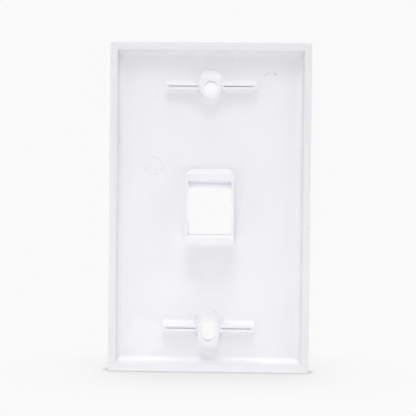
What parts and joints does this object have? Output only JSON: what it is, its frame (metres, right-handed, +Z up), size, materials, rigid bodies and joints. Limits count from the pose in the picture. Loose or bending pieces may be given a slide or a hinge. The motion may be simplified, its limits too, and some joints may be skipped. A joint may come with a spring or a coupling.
{
  "type": "keystone faceplate",
  "caption": "Flat moulded wall plate with a snap-in port for a keystone jack, countersunk screw openings and a hollow, ribbed back.",
  "frame": {"origin": "middle of the plate, in the plane where the back rim bears on the wall", "axes": "+Z up along the plate's height, +Y out of the hollow back toward the wall, -Y out of the front face toward the room, +X across the width"},
  "size_m": [0.0698, 0.0098, 0.1142],
  "materials": {
    "white_plastic": "glossy moulded white ABS with a faint cool tint"
  },
  "bodies": {
    "root": {"faceplate": "white_plastic"}
  },
  "joints": []
}
